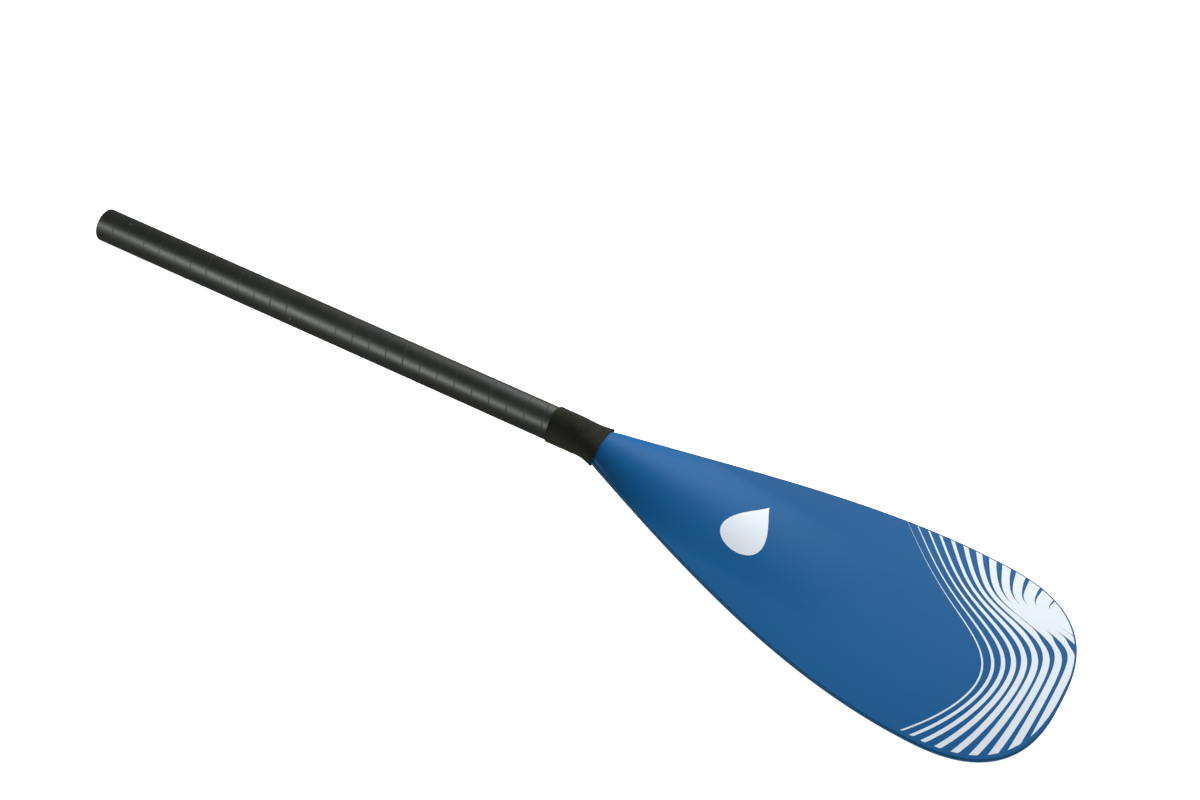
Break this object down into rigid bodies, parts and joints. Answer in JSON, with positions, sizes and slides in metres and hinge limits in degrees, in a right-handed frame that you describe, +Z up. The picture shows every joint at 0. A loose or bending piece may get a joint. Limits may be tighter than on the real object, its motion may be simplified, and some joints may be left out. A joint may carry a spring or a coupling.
{
  "type": "paddle blade section",
  "caption": "Lower section of a take-apart paddle: a composite tube with an open socket end and an angled sandwich blade.",
  "frame": {"origin": "on the floor that the paddle lies on, under the middle of its bounding box", "axes": "+X along the paddle from the socket end towards the blade tip, +Y across the blade to the left, +Z up, out of the power face. The tube mouth and the blade tip touch the floor and the neck stands clear of it"},
  "size_m": [0.9028, 0.188, 0.0563],
  "materials": {
    "composite": "satin",
    "blade_skin": "satin",
    "print": "satin",
    "rail": "satin",
    "sleeve": "matte",
    "nylon": "matte",
    "foam": "matte"
  },
  "bodies": {
    "root": {"shaft_tube": "composite", "float_plug": "foam", "neck_spine": "nylon", "power_face_skin": "blade_skin", "back_face_skin": "blade_skin", "edge_rail": "rail", "foam_core_left": "foam", "foam_core_right": "foam", "neck_sleeve": "sleeve"}
  },
  "joints": []
}
